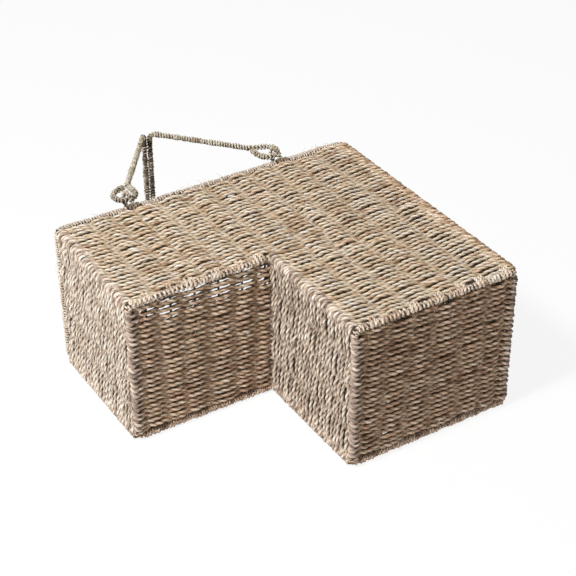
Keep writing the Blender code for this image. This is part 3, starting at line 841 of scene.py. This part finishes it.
def winding(name, path, sizes, finish, body, node, tone=0.55, seed=1, closed=False, core_painted_shade=0.5):
    """Cord wound over a wire, and the packed fibre under it in painted shade; sizes are outside, cord and
    turn pitch.
    """
    diameter, cord, pitch = sizes
    rng = np.random.default_rng(SEED + seed)
    tone_at = tone if callable(tone) else lambda route: np.full(len(route), tone)
    step = cord * WOUND_STEP_SHARE
    route, core = wound(path, diameter / 2 - WOUND_DEPTH_SHARE * cord, pitch, step, rng, closed)
    turns = round(len(route) * cord * WOUND_STEP_SHARE / (math.pi * diameter))
    turn_tones = TURN_TONE_SPREAD * smooth_noise(rng, len(route), turns)
    outer = strand(route, nearest_ways(route, core), closed, tone_at(route) + turn_tones)
    mesh = cord_mesh(name, [outer], cord, cord * WOUND_TWIST_SHARE, FINE_CORD_SIDES, WOUND_WAIST_SHARE)
    add_piece(name, mesh, finish, body, (node,))
    middle = resample(path, cord, closed)
    # The core is painted darker, so the gaps between the turns read as shade
    shaded_core_tone = np.clip(tone_at(middle) - core_painted_shade, 0, 1)
    inner = strand(middle, core_upright(path), closed, shaded_core_tone)
    shape = (diameter - CORE_SHARE * cord, PLAIN_TWIST_PITCH, FINE_CORD_SIDES, 1.0)
    mesh = cord_mesh(name + "_core", [inner], *shape)
    add_piece(name + "_core", mesh, finish, body)


def core_upright(path):
    """A direction that no part of the path runs along."""
    spans = np.ptp(np.array(path), axis=0)
    return (UP_X, UP_Y, UP_Z)[int(np.argmin(spans))] + UPRIGHT_TILT


def rim_and_edges():
    """The wound rim, the wound long edges of the two floors, and the coil at the upper floor's corner."""
    low, high = AT["low"], AT["high"]
    y = AT["rim"]
    gap = LASHING_LENGTH / 2
    stretches = []
    for name, wire_x, side in (("rear", AT["rear"], -1), ("front", AT["front"], 1)):
        start = HINGE_X[name] + side * gap
        corners = [(start, y, high), (wire_x, y, high), (wire_x, y, low), (start, y, low)]
        stretches.append((name, rounded(corners, BEND_RADIUS), len(name)))
    for name, z in (("low", low), ("high", high)):
        path = np.array([(HINGE_X["rear"] + gap, y, z), (HINGE_X["front"] - gap, y, z)])
        stretches.append((name, path, 10 + len(name)))
    sizes = (BINDING_VISIBLE_DIAMETER, RIM_CORD_DIAMETER, RIM_TURN_PITCH)
    for name, path, seed in stretches:
        # The rim's tone is partly painted light, for a rim that is lit less
        winding(
            "binding_" + name, path, sizes, PEACH, "basket", "rim_binding_" + name,
            tone=RIM_PALE_AND_PAINTED_LIGHT_TONE, seed=seed, core_painted_shade=CORE_PAINTED_SHADE["rim"],
        )
    for floor, y, left, right in (
        ("upper_floor", AT["upper"], AT["rear"], AT["riser"]),
        ("lower_floor", AT["lower"], AT["riser"], AT["front"]),
    ):
        for label, z, inward in (("low", low, 1), ("high", high, -1)):
            end = z + inward * EDGE_RETURN
            path = rounded([(left, y, end), (left, y, z), (right, y, z), (right, y, end)], BEND_RADIUS)
            node = f"{floor}_binding_{label}"
            # The low edge's binding and stitches get painted shade through their tone
            winding(
                f"{floor}_edge_{label}", path, (BINDING_VISIBLE_DIAMETER, *EDGE_CORDS[label]),
                PEACH, "basket", node, tone=EDGE_TONES_LOW_PAINTED_SHADE[label],
                seed=20 + len(floor + label), core_painted_shade=CORE_PAINTED_SHADE["edge"],
            )
            stitches(f"{floor}_stitches_{label}", y, z, -inward, left, right, node, EDGE_TONES_LOW_PAINTED_SHADE[label])
    coil = np.array([(AT["rear"] + share * COIL_LENGTH, AT["upper"], high) for share in COIL_END_SHARES])
    winding(
        "coil_at_upper_floor", coil, (COIL_DIAMETER, EDGE_CORD_DIAMETER, EDGE_TURN_PITCH), PEACH, "basket",
        "upper_floor_binding_high", seed=31, core_painted_shade=CORE_PAINTED_SHADE["coil"],
    )


def stitches(name, y, z, out, left, right, node, tone):
    """Groups of longer turns of the binding that reach over onto the side wall."""
    rng = np.random.default_rng(SEED + len(name) + (out > 0))
    groups = max(2, round((right - left) / STITCH_GROUP_PITCH))
    strands = []
    for group in range(groups):
        wander = rng.uniform(*STITCH_PLACE_WANDER_SHARES)
        middle = left + (group + 0.5 + wander) * (right - left) / groups
        for turn in range(rng.integers(*STITCHES_IN_GROUP)):
            x = middle + turn * EDGE_CORD_DIAMETER * rng.uniform(*STITCH_SPACING_SHARES)
            slant = rng.uniform(*STITCH_SLANTS)
            reach = STITCH_REACH * rng.uniform(*STITCH_REACH_SHARES)
            outer = BINDING_VISIBLE_DIAMETER / 2
            high = BINDING_DIAMETER / 2 - STITCH_HEIGHT_SHARE * EDGE_CORD_DIAMETER
            sheet = z + out * (high - STITCH_SINK_SHARE * EDGE_CORD_DIAMETER)
            controls = [
                ((x, y - outer * 0.7, z - out * outer * 0.6), (0, -0.4, out)),
                ((x, y - high, z + out * outer * 0.3), (0.2, 0.2, out)),
                ((x + slant / 2, y + outer * 0.4, z + out * high), (0.3, 1, 0)),
                ((x + slant, y + outer + reach * 0.6, sheet), (0.3, 1, -0.1 * out)),
                ((x + slant, y + outer + reach, sheet - out * EDGE_CORD_DIAMETER), (0, 0.4, -out)),
            ]
            points = resample(hermite(controls, False, CORD_STEP / 2), CORD_STEP)
            shade = tone + rng.normal(0, STITCH_TONE_SPREAD)
            strands.append(strand(points, UP_X, False, shade, rng.uniform(0, math.tau)))
    shape = (STITCH_CORD_SHARE * EDGE_CORD_DIAMETER, TWIST_PITCH / 2, FINE_CORD_SIDES, WOUND_WAIST_SHARE)
    mesh = cord_mesh(name, strands, *shape)
    add_piece(name, mesh, PEACH, "basket", (node,))


def eye_points(level):
    """A handle's open eye with the ring's cord at its far end, from its loose end to the leg's neck."""
    middle = Vector((0, EYE_OFFSET, level))
    touch = math.acos(EYE_CENTRELINE_RADIUS / EYE_NECK_LENGTH)
    slope = (EYE_NECK_LENGTH - EYE_END_LENGTH) / math.tan(touch)
    path = [middle + Vector((-slope, EYE_END_LENGTH, 0))]
    for step in range(25):
        angle = math.tau - touch - (math.tau - 2 * touch) * step / 24
        path.append(middle + EYE_CENTRELINE_RADIUS * Vector((math.sin(angle), math.cos(angle), 0)))
    path.append(middle + EYE_NECK_LENGTH * Vector((0, 1, 0)))
    return path


def stray_fibres():
    """Fine loose ends that stand a little off the woven faces and the bindings."""
    rng = np.random.default_rng(SEED + 9)
    rear, riser, front = AT["rear"], AT["riser"], AT["front"]
    lower, upper, rim = AT["lower"], AT["upper"], AT["rim"]
    low, high = AT["low"], AT["high"]
    faces = (
        ((rear, upper, high), (front, rim, high), UP_Z),
        ((riser, lower, high), (front, upper, high), UP_Z),
        ((rear, upper, low), (rear, rim, high), -UP_X),
        ((riser, lower, low), (riser, upper, high), -UP_X),
        ((front, lower, low), (front, rim, high), UP_X),
        ((rear, upper, low), (riser, upper, high), -UP_Y),
        ((riser, lower, low), (front, lower, high), -UP_Y),
        ((rear, rim, high), (front, rim, high), UP_Z),
        ((rear, upper, high), (riser, upper, high), UP_Z),
        ((riser, lower, high), (front, lower, high), UP_Z),
    )
    strands = []
    for one, two, out in faces:
        one, two = np.array(one), np.array(two)
        spans = np.sort(np.abs(two - one))
        count = round(max(spans[1], EDGE_FACE_WIDTH) * spans[2] * FIBRES_PER_AREA)
        for _ in range(count):
            start = one + rng.uniform(0, 1, 3) * (two - one) + out * (MIDDLE - FIBRE_LIFT)
            way = rng.standard_normal(3)
            way -= out * np.dot(way, out)
            way /= np.linalg.norm(way)
            across = np.cross(out, way)
            reach = rng.uniform(*FIBRE_LENGTH_SHARES) * FIBRE_LENGTH
            bend = rng.uniform(*FIBRE_BENDS)
            share = np.linspace(0, 1, FIBRE_POINTS)[:, None]
            lift = FIBRE_LIFT * rng.uniform(*FIBRE_LIFT_SHARES)
            rise = lift * np.sin(FIBRE_ARCH * share)
            points = start + reach * share * way + reach * bend * share**2 * across + rise * out
            strands.append(strand(points, out + 0.01 * way, False, rng.uniform(*FIBRE_TONES)))
    mesh = cord_mesh("stray_fibres", strands, FIBRE_DIAMETER, PLAIN_TWIST_PITCH, FIBRE_SIDES, 1.0)
    add_piece("stray_fibres", mesh, PEACH, "basket")


def handle(place, side):
    """A hoop handle wound with fine cord from eye to eye, its grip darker than its legs."""
    name = place + "_handle"
    ring_low, ring_high = ring_levels()
    high_eye, low_eye = eye_points(ring_high), eye_points(ring_low)
    bends = [
        high_eye[-1],
        (0, LEG_LENGTH, ring_high - LEG_TAPER),
        (0, LEG_LENGTH, ring_low + LEG_TAPER),
        low_eye[-1],
    ]
    path = high_eye[:-1] + [tuple(p) for p in rounded(bends, HOOP_CORNER_RADIUS)] + low_eye[-2::-1]
    swing = Matrix.Translation((HINGE_X[place], HINGE_Y, 0)) @ Matrix.Rotation(side * HANDLE_LEAN, 4, "Z")
    path = np.array([swing @ Vector(point) for point in path])
    grip_y = HINGE_Y + (LEG_LENGTH - HANDLE_DIAMETER) * math.cos(HANDLE_LEAN)

    def tones(route):
        mottle = smooth_noise(np.random.default_rng(SEED + side), len(route), len(route) // 4)
        grip = GRIP_TONE + GRIP_MOTTLE * np.clip(mottle, -1, 1)
        return np.where(route[:, 1] > grip_y, grip, LEG_TONE)

    winding(
        name + "_cord", path, (HANDLE_DIAMETER, *WRAP_CORD), HANDLE, name,
        name + "_wrap", tone=tones, seed=40 + side, core_painted_shade=CORE_PAINTED_SHADE["handle"],
    )


def ring_levels():
    """Heights of the middles of the low and high rings."""
    levels = []
    for name in ("ring_rear_low", "ring_rear_high"):
        low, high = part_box(name)
        levels.append((low[2] + high[2]) / 2)
    return levels


def rings():
    """The fixed rings, wound like the handles, and the lashings over their feet."""
    ring_low, ring_high = ring_levels()
    for place, side in (("rear", -1), ("front", 1)):
        x = HINGE_X[place]
        for label, ring_z, wire_z in (("low", ring_low, AT["low"]), ("high", ring_high, AT["high"])):
            centre = np.array((x, HINGE_Y - RING_CENTRELINE_RADIUS, ring_z))
            turn = np.linspace(0, math.tau, 49)[:-1, None]
            path = centre + RING_CENTRELINE_RADIUS * (np.cos(turn) * UP_Y + np.sin(turn) * UP_Z)
            winding(
                f"ring_cord_{place}_{label}", path, (RING_CORD_DIAMETER, *WRAP_CORD), HANDLE, "basket",
                f"ring_{place}_{label}", tone=LEG_TONE, seed=60 + side, closed=True,
            )
            line = np.array([(x + k * LASHING_LENGTH / 2, AT["rim"], wire_z) for k in (-1, 1)])
            winding(
                f"lashing_cord_{place}_{label}", line, (LASHING_DIAMETER, *WRAP_CORD), HANDLE, "basket",
                f"lashing_{place}_{label}", tone=LASHING_TONE, seed=70 + side,
            )


def direct_rays(nodes, links):
    """One where the camera, a reflection or glass sees a surface, and nought for the light it gives off."""
    path = nodes.new("ShaderNodeLightPath")
    value = path.outputs["Is Camera Ray"]
    for ray in ("Is Glossy Ray", "Is Transmission Ray"):
        either = nodes.new("ShaderNodeMath")
        either.operation = "MAXIMUM"
        links.new(value, either.inputs[0])
        links.new(path.outputs[ray], either.inputs[1])
        value = either.outputs[0]
    return value


def studio_floor():
    """A pale floor that keeps the object's shadow and is seen as white."""
    floor = bpy.data.meshes.new("studio_floor")
    far = FLOOR_REACH
    floor.from_pydata([(-far, -far, 0), (far, -far, 0), (far, far, 0), (-far, far, 0)], [], [(0, 1, 2, 3)])
    ground = bpy.data.objects.new("studio_floor", floor)
    bpy.context.scene.collection.objects.link(ground)
    paper = bpy.data.materials.new("studio_paper")
    paper.use_nodes = True
    nodes, links = paper.node_tree.nodes, paper.node_tree.links
    shader = nodes["Principled BSDF"]
    shader.inputs["Base Color"].default_value = PAPER_COLOUR
    shader.inputs["Roughness"].default_value = PAPER_ROUGHNESS
    bright = nodes.new("ShaderNodeEmission")
    bright.inputs["Color"].default_value = WHITE
    seen = nodes.new("ShaderNodeMath")
    seen.operation = "MULTIPLY"
    seen.inputs[1].default_value = PAPER_WHITE_SHARE
    links.new(direct_rays(nodes, links), seen.inputs[0])
    blend = nodes.new("ShaderNodeMixShader")
    links.new(seen.outputs[0], blend.inputs["Fac"])
    links.new(shader.outputs["BSDF"], blend.inputs[1])
    links.new(bright.outputs["Emission"], blend.inputs[2])
    links.new(blend.outputs["Shader"], nodes["Material Output"].inputs["Surface"])
    floor.materials.append(paper)


def studio_world():
    """A dim even sky that is seen as white."""
    world = bpy.data.worlds.new("studio")
    bpy.context.scene.world = world
    world.use_nodes = True
    nodes, links = world.node_tree.nodes, world.node_tree.links
    sky = nodes["Background"]
    sky.inputs["Color"].default_value = WHITE
    sky.inputs["Strength"].default_value = SKY_STRENGTH
    seen = nodes.new("ShaderNodeBackground")
    seen.inputs["Color"].default_value = WHITE
    seen.inputs["Strength"].default_value = SEEN_STRENGTH
    choose = nodes.new("ShaderNodeMixShader")
    links.new(direct_rays(nodes, links), choose.inputs["Fac"])
    links.new(sky.outputs["Background"], choose.inputs[1])
    links.new(seen.outputs["Background"], choose.inputs[2])
    links.new(choose.outputs["Shader"], nodes["World Output"].inputs["Surface"])


def lamps_and_camera():
    """A key lamp, a weak fill, and the camera at the photograph's angle."""
    for name, place, size, power in LAMPS:
        lamp = bpy.data.lights.new(name, "AREA")
        lamp.shape = "DISK"
        lamp.size = size
        lamp.energy = power
        holder = bpy.data.objects.new(name, lamp)
        holder.location = place
        holder.rotation_euler = (Vector(LAMP_AIM) - Vector(place)).to_track_quat("-Z", "Y").to_euler()
        bpy.context.scene.collection.objects.link(holder)
    camera = bpy.data.objects.new("camera", bpy.data.cameras.new("camera"))
    camera.data.sensor_width = SENSOR_WIDTH_MM
    camera.data.lens = LENS_MM
    camera.location = CAMERA_PLACE
    camera.rotation_euler = Euler([math.radians(turn) for turn in CAMERA_TURNS_DEGREES])
    bpy.context.scene.collection.objects.link(camera)
    bpy.context.scene.camera = camera
    bpy.context.scene.view_settings.view_transform = "Standard"


studio_floor()
studio_world()
lamps_and_camera()
walls()
floor_weave("upper_floor", AT["upper"], AT["rear"], AT["riser"], UPPER_STAKES, SEED + 1)
floor_weave("lower_floor", AT["lower"], AT["riser"], AT["front"], LOWER_STAKES, SEED + 2)
rim_and_edges()
rings()
stray_fibres()
handle("rear", -1)
handle("front", 1)
for node in ("wire_frame", "rear_handle_wire", "front_handle_wire"):
    shown = frame["nodes"][node]
    for place in shown.material_slots:
        place.material = WIRE
